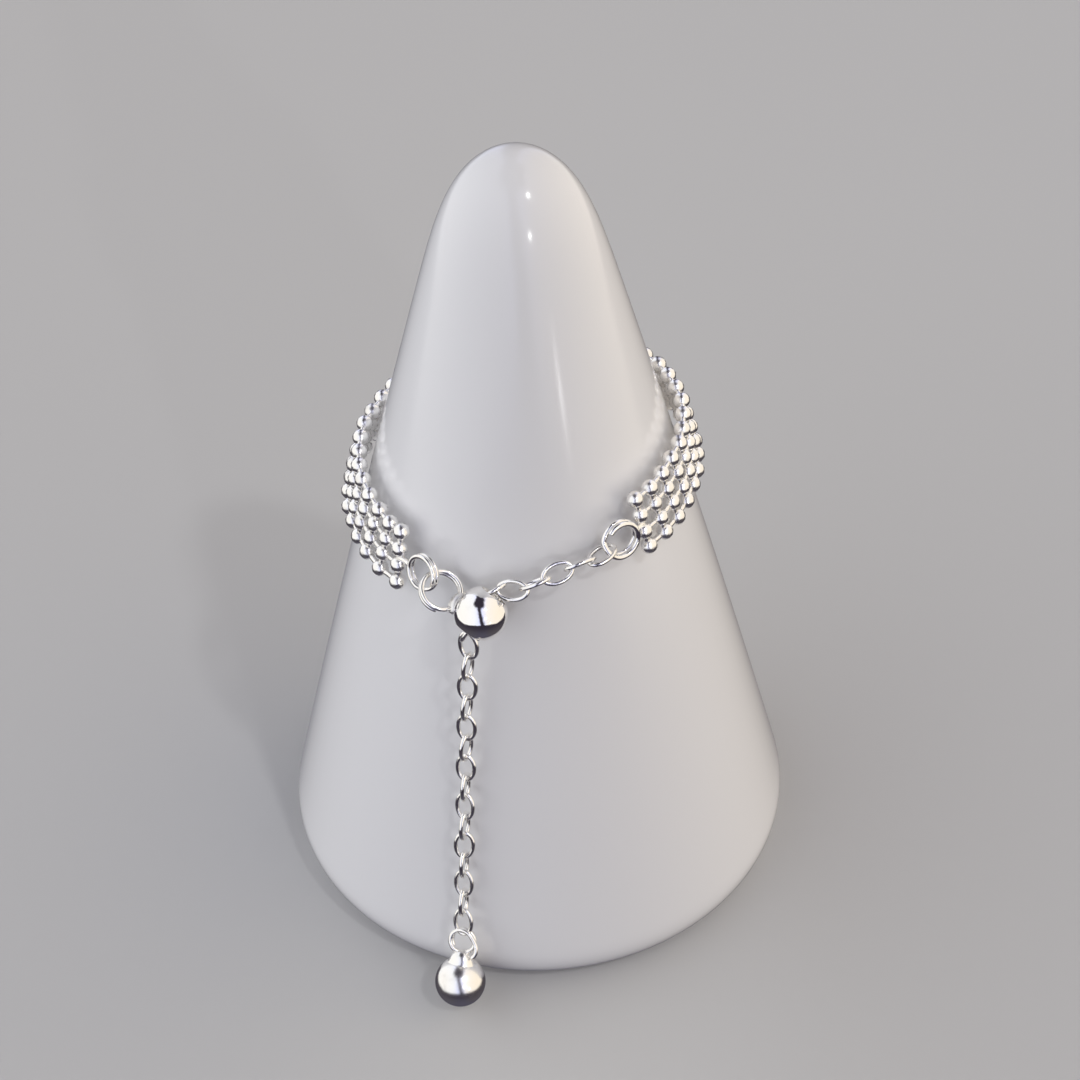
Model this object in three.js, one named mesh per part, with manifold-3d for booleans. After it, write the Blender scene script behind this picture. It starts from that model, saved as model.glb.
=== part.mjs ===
// An adjustable bead mesh ring, worn on a glazed ring cone.
//
// Millimetres, +Z up. The origin is the middle of the cone's flat base, on the surface that the cone stands
// on. The front is -Y: the slider bead and the chain's tail are there. The ring is a band of four bead
// strands that is open at the front. A jump ring at each end of the band carries a slider bead and a fine
// chain, and the chain runs through the bead and hangs down the cone to a ball.

import * as THREE from 'three';
import { mergeVertices } from 'three/addons/utils/BufferGeometryUtils.js';
import Module from 'manifold-3d';

const wasm = await Module();
wasm.setup();

// ---------------------------------------------------------------- driving dimensions

// The cone's radius is a straight taper with a slight belly, rounded off at the tip and tucked in at the
// foot.
const CONE = {
  height: 49.0,
  floorRadius: 16.1,     // where the straight taper would meet the floor
  taper: 0.2625,         // loss of radius for each millimetre of height
  belly: 0.21,           // how far the side stands proud of the straight taper, at mid height
  tipStart: 35.0,        // the tip's rounding starts here
  tipPower: 8,
  footHeight: 2.73,      // the foot's rounding ends here
  footTuck: 2.82,        // how far it pulls in at the floor
};

// The band follows a tilted line round the cone. A turn is in degrees from the front, positive towards +X.
const BAND = {
  height: 28.9,          // of its middle line, at the front and the back
  tilt: 1.02,            // how much higher it is on the right, and lower on the left
  standoff: 0.92,        // from the cone to the band's middle surface, on average
  standoffTilt: 0.18,    // how much more at the front, and less at the back
  rightEndTurn: 40.1,
  leftEndTurn: 314.8,
  rightEndDip: 0.18,     // each end is pulled down a little by what hangs from it
  leftEndDip: 0.75,
  dipSpread: 20,
  strands: 4,
  strandSpacing: 1.03,
  beadRadius: 0.5,
  waistRadius: 0.34,     // half the band's thickness between two strands
};

const SLIDER = {
  turn: -14.5, height: 26.14, standoff: 1.8, radius: 1.5,
  bore: [0.6245, 0.4484, 0.6395],      // the way that the chain runs through it, from the tail to the loop
  boreRadius: 0.82,
};

// Every ring is wire wound twice round. Its face looks towards a turn, and up by faceLift degrees, and its
// two turns of wire lie side by side, a pitch apart. The left end ring reaches inside the slider's ring.
const SLIDER_RING = {
  turn: -27.27, height: 26.83, standoff: 1.55, radius: 1.133, wire: 0.125, pitch: 0.36, faceTurn: 35.3,
  faceLift: 58, solderRadius: 0.34,
};
const LEFT_END_RING = {
  turn: -34.29, height: 27.44, standoff: 1.42, radius: 0.975, wire: 0.12, pitch: 0.3, faceTurn: -47.4,
  faceLift: 16.4,
};
const RIGHT_END_RING = {
  turn: 30.37, height: 29.16, standoff: 1.2, radius: 0.997, wire: 0.15, pitch: 0.44, faceTurn: 31.7,
  faceLift: 10.9,
};

const END_BALL = { turn: -17.4, height: 2.03, standoff: 1.82, radius: 1.5 };
const END_BALL_RING = {
  lift: 2.64, radius: 0.72, wire: 0.125, pitch: 0.29, faceTurn: -25, faceLift: 28, solderRadius: 0.52,
};

// The chain as one tube along its true route, from the right end ring, through the slider bead, to the end
// ball.
const CHAIN_RADIUS = 0.43;
const CHAIN_ROUTE = [
  { turn: 21.3, height: 28.6, standoff: 1.15 },
  { turn: 18.0, height: 28.57, standoff: 1.17 },
  { turn: 14.6, height: 28.5, standoff: 1.2 },
  { turn: 8.0, height: 28.29, standoff: 1.33 },
  { turn: 1.7, height: 27.9, standoff: 1.38 },
  { turn: -5.7, height: 27.41, standoff: 1.3 },
  { turn: -10.9, height: 27.22, standoff: 1.24 },
  { turn: -14.5, height: 26.14, standoff: 1.8 },
  { turn: -17.8, height: 25.12, standoff: 2.3 },
  { turn: -17.7, height: 24.15, standoff: 2.04 },
  { turn: -17.65, height: 22.87, standoff: 1.85 },
  { turn: -17.9, height: 21.48, standoff: 1.65 },
  { turn: -18.3, height: 18.44, standoff: 1.22 },
  { turn: -18.5, height: 15.68, standoff: 0.93 },
  { turn: -18.5, height: 13.6, standoff: 0.86 },
  { turn: -18.3, height: 10.5, standoff: 0.85 },
  { turn: -18.1, height: 7.5, standoff: 0.85 },
  { turn: -17.85, height: 5.3, standoff: 0.98 },
];

// ---------------------------------------------------------------- materials

const SILVER = { color: 0xdedbd6, metalness: 1.0, roughness: 0.14 };
const GLAZE = { color: 0xe4e4e6, metalness: 0.0, roughness: 0.12 };

// ---------------------------------------------------------------- places on the cone

const radians = (degrees) => THREE.MathUtils.degToRad(degrees);

function coneRadius(height) {
  const side = CONE.floorRadius - CONE.taper * height + CONE.belly * Math.sin(Math.PI * height / CONE.height);
  const tip = Math.max((height - CONE.tipStart) / (CONE.height - CONE.tipStart), 0);
  const foot = Math.max(1 - height / CONE.footHeight, 0);
  return side * Math.sqrt(1 - tip ** CONE.tipPower) - CONE.footTuck * (1 - Math.sqrt(1 - foot * foot));
}

// The level direction that faces away from the axis at a turn.
function levelDirection(turn) {
  return new THREE.Vector3(Math.sin(radians(turn)), -Math.cos(radians(turn)), 0);
}

// The cone's outward normal at a turn and a height.
function coneNormal(turn, height) {
  const step = 0.01;
  const slope = Math.atan((coneRadius(height - step) - coneRadius(height + step)) / (2 * step));
  return levelDirection(turn).multiplyScalar(Math.cos(slope)).setZ(Math.sin(slope));
}

// A point that stands off the cone's surface.
function place({ turn, height, standoff }) {
  const foot = levelDirection(turn).multiplyScalar(coneRadius(height)).setZ(height);
  return foot.addScaledVector(coneNormal(turn, height), standoff);
}

// ---------------------------------------------------------------- shapes

function toManifold(geometry) {
  const bare = new THREE.BufferGeometry();
  bare.setAttribute('position', geometry.getAttribute('position').clone());
  if (geometry.index) bare.setIndex(geometry.index.clone());
  const merged = mergeVertices(bare, 1e-4);
  const vertProperties = Float32Array.from(merged.getAttribute('position').array);
  const triVerts = Uint32Array.from(merged.index.array);
  return new wasm.Manifold(new wasm.Mesh({ numProp: 3, vertProperties, triVerts }));
}

function fromManifold(solid) {
  const mesh = solid.getMesh();
  const geometry = new THREE.BufferGeometry();
  geometry.setAttribute('position', new THREE.BufferAttribute(Float32Array.from(mesh.vertProperties), 3));
  geometry.setIndex(new THREE.BufferAttribute(Uint32Array.from(mesh.triVerts), 1));
  geometry.computeVertexNormals();
  return geometry;
}

// A matrix that puts a shape at a centre, with its X along one direction and its Z as near another as can
// be.
function stand(centre, alongX, nearZ) {
  const x = alongX.clone().normalize();
  const z = nearZ.clone().addScaledVector(x, -nearZ.dot(x)).normalize();
  const y = new THREE.Vector3().crossVectors(z, x);
  return new THREE.Matrix4().makeBasis(x, y, z).setPosition(centre);
}

const BALL_SIDES = 24;
const BALL_RINGS = 14;

// A round bead of solder, where a ring meets a ball.
function makeSolder(radius, ballCentre, towardsRing, ballRadius) {
  const centre = ballCentre.clone().addScaledVector(towardsRing, ballRadius);
  return new THREE.SphereGeometry(radius, 10, 6).translate(centre.x, centre.y, centre.z);
}

// A ring at a centre, with a section as deep along its axis as its two turns of wire.
function woundRing(ring, centre) {
  const { radius, wire, pitch } = ring;
  const sideways = levelDirection(ring.faceTurn + 90);
  const facing = levelDirection(ring.faceTurn).setZ(Math.tan(radians(ring.faceLift)));
  const shape = new THREE.TorusGeometry(radius, wire, 8, 20).scale(1, 1, 1 + pitch / (2 * wire));
  return shape.applyMatrix4(stand(centre, sideways, facing));
}

// ---------------------------------------------------------------- the pieces

function makeRingCone() {
  const turns = 40;
  const footSteps = 5;
  const sideSteps = 7;
  const tipSteps = 12;
  const profile = [new THREE.Vector2(0, 0)];
  for (let i = 0; i <= footSteps; i += 1) {
    const height = CONE.footHeight * (1 - Math.cos(Math.PI * i / (2 * footSteps)));
    profile.push(new THREE.Vector2(coneRadius(height), height));
  }
  for (let i = 1; i <= sideSteps; i += 1) {
    const height = THREE.MathUtils.lerp(CONE.footHeight, CONE.tipStart, i / sideSteps);
    profile.push(new THREE.Vector2(coneRadius(height), height));
  }
  for (let i = 1; i < tipSteps; i += 1) {
    const height = THREE.MathUtils.lerp(CONE.tipStart, CONE.height, Math.sin(Math.PI * i / (2 * tipSteps)));
    profile.push(new THREE.Vector2(coneRadius(height), height));
  }
  profile.push(new THREE.Vector2(0, CONE.height));
  return new THREE.LatheGeometry(profile, turns).rotateX(Math.PI / 2);
}

// The band's middle line, as a place on the cone for each turn.
function bandPlace(turn) {
  const dip = (end, depth) => depth * Math.exp(-(((turn - end) / BAND.dipSpread) ** 2));
  const height = BAND.height + BAND.tilt * Math.sin(radians(turn))
    - dip(BAND.rightEndTurn, BAND.rightEndDip) - dip(BAND.leftEndTurn, BAND.leftEndDip);
  return { turn, height, standoff: BAND.standoff + BAND.standoffTilt * Math.cos(radians(turn)) };
}

// The band's thickness at a distance from its middle line: a bead's round at each strand, and a waist
// between.
function halfThickness(across) {
  const outer = (BAND.strands - 1) * BAND.strandSpacing / 2;
  const beyond = Math.abs(across) - outer;
  if (beyond > 0) return Math.sqrt(Math.max(BAND.beadRadius ** 2 - beyond ** 2, 0));
  const nearest = (Math.round(across / BAND.strandSpacing - 0.5) + 0.5) * BAND.strandSpacing;
  const round = Math.sqrt(Math.max(BAND.beadRadius ** 2 - (across - nearest) ** 2, 0));
  return Math.max(round, BAND.waistRadius);
}

function makeMeshBand() {
  const sectionPoints = 32;
  const steps = 38;
  const halfWidth = (BAND.strands - 1) * BAND.strandSpacing / 2 + BAND.beadRadius;
  const rod = new THREE.CylinderGeometry(1, 1, 1, sectionPoints, steps);
  const position = rod.getAttribute('position');
  for (let i = 0; i < position.count; i += 1) {
    const turn = THREE.MathUtils.lerp(BAND.rightEndTurn, BAND.leftEndTurn, position.getY(i) + 0.5);
    const onRim = Math.hypot(position.getX(i), position.getZ(i));
    const angle = Math.atan2(position.getX(i), position.getZ(i));
    const across = onRim * halfWidth * Math.cos(angle);
    const out = onRim * Math.sign(Math.sin(angle)) * halfThickness(halfWidth * Math.cos(angle));
    const here = bandPlace(turn);
    const centre = place(here);
    const ahead = place(bandPlace(turn + 0.5)).sub(centre).normalize();
    const normal = coneNormal(turn, here.height);
    const upward = new THREE.Vector3().crossVectors(normal, ahead).normalize();
    const point = centre.addScaledVector(upward, across).addScaledVector(normal, out);
    position.setXYZ(i, point.x, point.y, point.z);
  }
  return rod;
}

// The slider: a bead with a ring soldered to its side, bored along the chain.
function makeSliderBead() {
  const boreSides = 16;
  const centre = place(SLIDER);
  const ringCentre = place(SLIDER_RING);
  const outward = ringCentre.clone().sub(centre).normalize();
  const normal = coneNormal(SLIDER.turn, SLIDER.height);
  const bead = new THREE.SphereGeometry(SLIDER.radius, BALL_SIDES, BALL_RINGS);
  bead.applyMatrix4(stand(centre, outward, normal));
  const ring = woundRing(SLIDER_RING, ringCentre);
  const solder = makeSolder(SLIDER_RING.solderRadius, centre, outward, SLIDER.radius);
  const bore = new THREE.CylinderGeometry(SLIDER.boreRadius, SLIDER.boreRadius, 4 * SLIDER.radius, boreSides);
  bore.rotateZ(Math.PI / 2);
  bore.applyMatrix4(stand(centre, new THREE.Vector3(...SLIDER.bore), normal));
  const soldered = toManifold(bead).add(toManifold(ring)).add(toManifold(solder));
  return fromManifold(soldered.subtract(toManifold(bore)));
}

function makeChain() {
  const sides = 8;
  const steps = 42;
  const section = new THREE.Shape();
  for (let i = 0; i < sides; i += 1) {
    const angle = 2 * Math.PI * i / sides;
    const move = i === 0 ? 'moveTo' : 'lineTo';
    section[move](CHAIN_RADIUS * Math.cos(angle), CHAIN_RADIUS * Math.sin(angle));
  }
  const route = new THREE.CatmullRomCurve3(CHAIN_ROUTE.map(place));
  return new THREE.ExtrudeGeometry(section, { extrudePath: route, steps });
}

// The ball that ends the tail, with the ring in its top that the last link hangs in.
function makeEndBall() {
  const centre = place(END_BALL);
  const lastLink = place(CHAIN_ROUTE.at(-1));
  const upward = lastLink.clone().sub(centre).normalize();
  const ringCentre = centre.clone().addScaledVector(upward, END_BALL_RING.lift);
  const normal = coneNormal(END_BALL.turn, CONE.footHeight + END_BALL.radius);
  const ball = new THREE.SphereGeometry(END_BALL.radius, BALL_SIDES, BALL_RINGS);
  ball.applyMatrix4(stand(centre, upward, normal));
  const ring = woundRing(END_BALL_RING, ringCentre);
  const solder = makeSolder(END_BALL_RING.solderRadius, centre, upward, END_BALL.radius);
  return fromManifold(toManifold(ball).add(toManifold(ring)).add(toManifold(solder)));
}

// ---------------------------------------------------------------- the object

const object = new THREE.Group();

function addPiece(name, geometry, finish) {
  const mesh = new THREE.Mesh(geometry, new THREE.MeshStandardMaterial(finish));
  mesh.name = name;
  object.add(mesh);
}

addPiece('ring_cone', makeRingCone(), GLAZE);
addPiece('mesh_band', makeMeshBand(), SILVER);
addPiece('left_end_ring', woundRing(LEFT_END_RING, place(LEFT_END_RING)), SILVER);
addPiece('slider_bead', makeSliderBead(), SILVER);
addPiece('right_end_ring', woundRing(RIGHT_END_RING, place(RIGHT_END_RING)), SILVER);
addPiece('chain', makeChain(), SILVER);
addPiece('end_ball', makeEndBall(), SILVER);

export default object;
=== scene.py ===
"""An adjustable silver bead mesh ring, worn on a glazed ring cone.

Sizes are in millimetres in the classes below, and become metres where a mesh is put into Blender. The
origin is the middle of the cone's flat base, +Z is up and -Y is the front. A place on the cone is a turn in
degrees from the front, positive towards +X, a height, and a standoff along the cone's own normal.
"""

import logging
import math
from dataclasses import dataclass, field
from enum import Enum
from typing import Any

import bpy
import numpy as np
from mathutils import Matrix, Vector


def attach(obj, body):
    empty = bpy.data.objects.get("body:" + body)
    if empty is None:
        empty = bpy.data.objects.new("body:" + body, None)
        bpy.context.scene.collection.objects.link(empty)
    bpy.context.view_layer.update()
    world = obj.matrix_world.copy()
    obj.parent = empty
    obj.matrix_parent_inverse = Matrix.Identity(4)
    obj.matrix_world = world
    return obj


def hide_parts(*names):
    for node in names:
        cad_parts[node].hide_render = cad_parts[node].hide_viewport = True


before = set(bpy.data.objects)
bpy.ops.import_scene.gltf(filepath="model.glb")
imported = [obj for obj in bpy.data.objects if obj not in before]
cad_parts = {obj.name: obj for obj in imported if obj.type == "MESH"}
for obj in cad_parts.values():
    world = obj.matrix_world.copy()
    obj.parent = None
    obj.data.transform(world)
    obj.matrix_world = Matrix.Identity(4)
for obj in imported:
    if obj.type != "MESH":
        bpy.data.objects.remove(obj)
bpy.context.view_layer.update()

Array = np.ndarray
Values = np.ndarray | float
Pair = tuple[float, float]
Triple = tuple[float, float, float]
Socket = bpy.types.NodeSocket
MM = 0.001  # metres in a millimetre
UP = np.array([0.0, 0.0, 1.0])
CREASE = 50.0  # degrees: a sharper edge stays sharp
BODY = "root"  # the one body, because nothing on the object turns or slides stiffly
log = logging.getLogger("bead_mesh_ring")


# ---------------------------------------------------------------- vectors


def unit(vectors: Array) -> Array:
    """Each vector divided by its own length."""
    return vectors / np.linalg.norm(vectors, axis=-1, keepdims=True)


def level_direction(turn: Values) -> Array:
    """The level direction away from the axis at each turn: (sin t, -cos t, 0)."""
    angle = np.radians(np.asarray(turn, float))
    return np.stack([np.sin(angle), -np.cos(angle), np.zeros_like(angle)], axis=-1)


def axes(along: Array, near: Array) -> Array:
    """Right-handed axes whose third one is along, and whose first one is as near another way as can be.

    The first axis is near, less its part along the third, made one long. The second is third x first.

    Args:
        along: the third axis, of any length, (..., 3).
        near: the way that the first axis leans to, (..., 3).

    Returns:
        The three axes as rows, (..., 3, 3).
    """
    third = unit(np.asarray(along, float))
    near = np.broadcast_to(np.asarray(near, float), third.shape)
    first = unit(near - third * np.sum(near * third, axis=-1, keepdims=True))
    return np.stack([first, np.cross(third, first), third], axis=-2)


def turned_about(vectors: Array, axis: Array, degrees: float) -> Array:
    """Vectors turned about an axis: v cos a + (k x v) sin a + k (k . v)(1 - cos a).

    Args:
        vectors: what is turned, (..., 3).
        axis: the axis of each, one long, (..., 3).
        degrees: the angle, by the right hand.

    Returns:
        The turned vectors, (..., 3).
    """
    angle = math.radians(degrees)
    along = axis * np.sum(axis * vectors, axis=-1, keepdims=True)
    across = np.cross(axis, vectors)
    return vectors * math.cos(angle) + across * math.sin(angle) + along * (1 - math.cos(angle))


def distance_along(points: Array) -> Array:
    """How far along a line each of its points is: the lengths of the steps before it, added up."""
    return np.concatenate([[0.0], np.cumsum(np.linalg.norm(np.diff(points, axis=0), axis=1))])


def smooth_between(low: float, high: float, value: Array) -> Array:
    """0 below low, 1 above high, and 3t^2 - 2t^3 between them."""
    t = np.clip((value - low) / (high - low), 0, 1)
    return t * t * (3 - 2 * t)


# ---------------------------------------------------------------- meshes


@dataclass
class MeshData:
    """Points and faces in millimetres, before they are put into Blender."""

    vertices: Array
    quads: Array = field(default_factory=lambda: np.empty((0, 4), int))
    triangles: Array = field(default_factory=lambda: np.empty((0, 3), int))

    def volume(self) -> float:
        """The volume of a closed shell, below 0 where its faces point inwards.

        Returns:
            A sixth of the sum of a . (b x c) over the triangles, in cubic millimetres.
        """
        halves = [self.quads[:, [0, 1, 2]], self.quads[:, [0, 2, 3]], self.triangles]
        a, b, c = (self.vertices[np.concatenate(halves)[:, i]] for i in range(3))
        return float(np.sum(a * np.cross(b, c)) / 6)

    def outward(self) -> "MeshData":
        """Turns the faces of a closed shell outwards.

        Returns:
            The same shell, or one with every face turned round.
        """
        if self.volume() >= 0:
            return self
        return MeshData(self.vertices, self.quads[:, ::-1], self.triangles[:, ::-1])

    def placed(self, centre: Array, frames: Array) -> "MeshData":
        """Copies of the mesh: point = centre + x first axis + y second axis + z third axis.

        Args:
            centre: where each copy's origin goes, (3,) or (n, 3).
            frames: each copy's axes as rows, (3, 3) or (n, 3, 3).

        Returns:
            One mesh that holds all of the copies.
        """
        centre, frames = np.atleast_2d(centre), np.asarray(frames).reshape(-1, 3, 3)
        points = centre[:, None, :] + np.einsum("vj,cjk->cvk", self.vertices, frames)
        step = (np.arange(len(points)) * len(self.vertices))[:, None, None]
        return MeshData(
            points.reshape(-1, 3),
            (self.quads[None] + step).reshape(-1, 4),
            (self.triangles[None] + step).reshape(-1, 3),
        )


def joined(*parts: MeshData) -> MeshData:
    """Several meshes as one, each with its faces moved on by the points before it.

    Args:
        parts: the meshes.

    Returns:
        The one mesh.
    """
    starts = np.cumsum([0] + [len(part.vertices) for part in parts])
    return MeshData(
        np.concatenate([part.vertices for part in parts]),
        np.concatenate([part.quads + start for part, start in zip(parts, starts)]),
        np.concatenate([part.triangles + start for part, start in zip(parts, starts)]),
    )


def round_angles(steps: int) -> Array:
    """The angles of even steps once round, in radians."""
    return 2 * np.pi * np.arange(steps) / steps


def round_points(radius: Array, angle: Array, height: Values) -> Array:
    """Points about the Z axis: x = r cos a, y = r sin a and z = h."""
    return np.stack(np.broadcast_arrays(radius * np.cos(angle), radius * np.sin(angle), height), axis=-1)


def grid_quads(rows: int, columns: int, close_rows: bool = False) -> Array:
    """The quads of a grid of points, whose columns always close on themselves.

    Args:
        rows: how many rows of points.
        columns: how many points in a row.
        close_rows: whether the last row joins the first.

    Returns:
        Four point numbers for each quad, (n, 4).
    """
    row, column = np.meshgrid(np.arange(rows if close_rows else rows - 1), np.arange(columns), indexing="ij")
    ahead, beside = (row + 1) % rows, (column + 1) % columns
    corners = ((row, column), (row, beside), (ahead, beside), (ahead, column))
    return np.stack([y * columns + x for y, x in corners], axis=-1).reshape(-1, 4)


def grid_shell(points: Array, first_pole: Array | None = None, last_pole: Array | None = None) -> MeshData:
    """A closed shell from a grid of points that closes along its rows.

    Without poles, the last row joins the first. With poles, a fan of triangles closes each end.

    Args:
        points: the grid, (rows, columns, 3).
        first_pole: the point before the first row.
        last_pole: the point after the last row.

    Returns:
        The shell, with its faces outward.
    """
    rows, columns = points.shape[:2]
    flat = points.reshape(-1, 3)
    if first_pole is None or last_pole is None:
        return MeshData(flat, grid_quads(rows, columns, close_rows=True)).outward()
    here = np.arange(columns)
    beside = (here + 1) % columns
    last_row = (rows - 1) * columns
    start = np.stack([beside, here, np.full(columns, len(flat))], axis=-1)
    end = np.stack([last_row + here, last_row + beside, np.full(columns, len(flat) + 1)], axis=-1)
    vertices = np.concatenate([flat, first_pole[None], last_pole[None]])
    return MeshData(vertices, grid_quads(rows, columns), np.concatenate([start, end])).outward()


def turned(radius: Array, height: Array, sides: int, closed: bool = False) -> MeshData:
    """A profile turned about +Z: x = r cos a, y = r sin a, z = h.

    Args:
        radius: the profile's distance from the axis. An open profile starts and ends on the axis, at 0.
        height: the profile's place along the axis.
        sides: how many steps round the axis.
        closed: whether the profile is a loop clear of the axis, and so makes a shape with a hole.

    Returns:
        The closed shell.
    """
    rows = slice(None) if closed else slice(1, -1)
    points = round_points(radius[rows, None], round_angles(sides), height[rows, None])
    if closed:
        return grid_shell(points)
    return grid_shell(points, height[0] * UP, height[-1] * UP)


def ball(radius: float, sides: int, rows: int) -> MeshData:
    """A ball with its poles on Z: r = R sin p, h = -R cos p, for p from 0 to 180 degrees."""
    polar = np.linspace(0, np.pi, rows + 1)
    return turned(radius * np.sin(polar), -radius * np.cos(polar), sides)


def wire(path: Array, side: Array, radius: float, sides: int, closed: bool = True) -> MeshData:
    """Round wire along a path: point = path + R (side cos a + other sin a), with other = side x ahead.

    Ahead is the way of the path. An open wire is cut square, and a bevel of 15% of its radius breaks the
    edge of each end.

    Args:
        path: the wire's centre line, (n, 3).
        side: a direction across the path at each point, (3,) or (n, 3).
        radius: the wire's radius.
        sides: how many steps round the wire.
        closed: whether the path is a loop.

    Returns:
        The closed shell.
    """
    if closed:
        ahead = unit(np.roll(path, -1, axis=0) - np.roll(path, 1, axis=0))
    else:
        ahead = unit(np.gradient(path, axis=0))
    side = unit(np.broadcast_to(side, path.shape) - ahead * np.sum(side * ahead, axis=-1, keepdims=True))
    other = np.cross(side, ahead)
    size = np.full(len(path), radius)
    if not closed:
        bevel = 0.15
        inset = np.array([1.0, 1.0, 1.0 - bevel]) * radius
        step = np.array([-2.0, -1.0, 0.0])[:, None] * (bevel * radius)
        path = np.concatenate([path[0] - ahead[0] * step[::-1], path[1:-1], path[-1] + ahead[-1] * step])
        side = np.concatenate([side[[0] * 3], side[1:-1], side[[-1] * 3]])
        other = np.concatenate([other[[0] * 3], other[1:-1], other[[-1] * 3]])
        size = np.concatenate([inset[::-1], size[1:-1], inset])
        tips = (path[0], path[-1])
    angle = round_angles(sides)[:, None]
    round_side = side[:, None] * np.cos(angle) + other[:, None] * np.sin(angle)
    points = path[:, None] + size[:, None, None] * round_side
    return grid_shell(points) if closed else grid_shell(points, *tips)


def ellipse_path(length: float, width: float, steps: int) -> Array:
    """An ellipse in the XZ plane: x = w/2 cos a and z = l/2 sin a, with its length along Z."""
    angle = round_angles(steps)
    return np.stack([width / 2 * np.cos(angle), 0 * angle, length / 2 * np.sin(angle)], axis=-1)


# ---------------------------------------------------------------- shaders


class Signal:
    """A number that varies over a surface: a socket that takes part in Python arithmetic."""

    def __init__(self, graph: "Graph", socket: Socket) -> None:
        """Keeps the graph that the maths nodes go into, and the socket that the number comes from."""
        self.graph = graph
        self.socket = socket

    def _maths(self, operation: str, first: "Signal | float", second: "Signal | float") -> "Signal":
        """The result of one Math node."""
        node = self.graph.add("ShaderNodeMath", {"operation": operation}, {0: first, 1: second})
        return Signal(self.graph, node.outputs[0])

    def __add__(self, other: "Signal | float") -> "Signal":
        """self + other."""
        return self._maths("ADD", self, other)

    __radd__ = __add__

    def __sub__(self, other: "Signal | float") -> "Signal":
        """self - other."""
        return self._maths("SUBTRACT", self, other)

    def __rsub__(self, other: float) -> "Signal":
        """other - self."""
        return self._maths("SUBTRACT", other, self)

    def __mul__(self, other: "Signal | float") -> "Signal":
        """self * other."""
        return self._maths("MULTIPLY", self, other)

    __rmul__ = __mul__

    def __abs__(self) -> "Signal":
        """The size of self without its sign."""
        return self._maths("ABSOLUTE", self, 0.0)

    def smoothed(self, low: float, high: float) -> "Signal":
        """A smooth step.

        Args:
            low: where it is still 0.
            high: where it has reached 1. The step falls instead of rising if this is below low.

        Returns:
            The step.
        """
        flip = low > high
        settings = {"interpolation_type": "SMOOTHSTEP"}
        inputs = {"Value": self, "From Min": min(low, high), "From Max": max(low, high)}
        step = Signal(self.graph, self.graph.add("ShaderNodeMapRange", settings, inputs).outputs[0])
        return 1.0 - step if flip else step


class Graph:
    """The nodes of one material or world."""

    def __init__(self, tree: bpy.types.NodeTree) -> None:
        """Starts from an empty tree."""
        self.tree = tree
        tree.nodes.clear()

    def add(
        self, kind: str, settings: dict[str, Any] | None = None, inputs: dict[str | int, Any] | None = None
    ) -> bpy.types.Node:
        """Adds one node.

        Args:
            kind: the node's type.
            settings: its properties, set first. "stops" are a colour ramp's (place, colour) pairs.
            inputs: the values or links of its sockets, by name or number.

        Returns:
            The node.
        """
        node = self.tree.nodes.new(kind)
        for name, value in (settings or {}).items():
            if name == "stops":
                self._set_stops(node.color_ramp, value)
            else:
                setattr(node, name, value)
        for name, value in (inputs or {}).items():
            source = value.socket if isinstance(value, Signal) else value
            if isinstance(source, Socket):
                self.tree.links.new(source, node.inputs[name])
            else:
                node.inputs[name].default_value = source
        return node

    @staticmethod
    def _set_stops(ramp: bpy.types.ColorRamp, stops: tuple[tuple[float, Triple], ...]) -> None:
        """Puts a ramp's stops in.

        Args:
            ramp: the ramp, with its two first stops.
            stops: each stop's place and colour, in order.
        """
        while len(ramp.elements) < len(stops):
            ramp.elements.new(1.0)
        for element, (place, colour) in zip(ramp.elements, stops):
            element.position = place
            element.color = (*colour, 1.0)

    def object_place(self) -> Socket:
        """Where the surface point is, in the piece's own coordinates, in metres."""
        return self.add("ShaderNodeTexCoord").outputs["Object"]

    def stretched(self, place: Socket, scale: Triple) -> Socket:
        """A place with each of its coordinates multiplied."""
        return self.add("ShaderNodeMapping", {}, {"Vector": place, "Scale": scale}).outputs[0]

    def noise(self, place: Socket, size: float, detail: float) -> Signal:
        """Cloudy noise, about 0 to 1, with lumps of a size in millimetres."""
        inputs = {"Vector": place, "Scale": 1.0 / (size * MM), "Detail": detail}
        return Signal(self, self.add("ShaderNodeTexNoise", {}, inputs).outputs[0])

    def mixed(self, factor: Signal, first: Triple | Socket, second: Triple) -> Socket:
        """A mix of two colours.

        Args:
            factor: 0 for the first colour and 1 for the second.
            first: a colour, or the socket that it comes from.
            second: a colour.

        Returns:
            The colour between them.
        """
        first = first if isinstance(first, Socket) else (*first, 1.0)
        inputs = {0: factor, 6: first, 7: (*second, 1.0)}
        return self.add("ShaderNodeMix", {"data_type": "RGBA"}, inputs).outputs[2]

    def bump(self, height: Signal) -> Socket:
        """A normal that makes the surface look raised by a height in millimetres."""
        return self.add("ShaderNodeBump", {}, {"Height": height, "Distance": MM, "Strength": 1.0}).outputs[0]

    def surface(self, inputs: dict[str, Any]) -> None:
        """Sends one Principled shader with these inputs to the material's output."""
        shader = self.add("ShaderNodeBsdfPrincipled", {}, inputs).outputs[0]
        self.add("ShaderNodeOutputMaterial", {}, {"Surface": shader})


class Finish:
    """What every finish shares: one material, made once and used by each piece that has it."""

    name: str

    def dress(self, graph: Graph) -> None:
        """Builds the finish's nodes."""
        raise NotImplementedError

    def material(self) -> bpy.types.Material:
        """The finish's material, made on the first call unless one of its name is there already.

        Returns:
            The material.
        """
        known = bpy.data.materials.get(self.name)
        if known:
            return known
        material = bpy.data.materials.new(self.name)
        material.use_nodes = True
        self.dress(Graph(material.node_tree))
        return material


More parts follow.
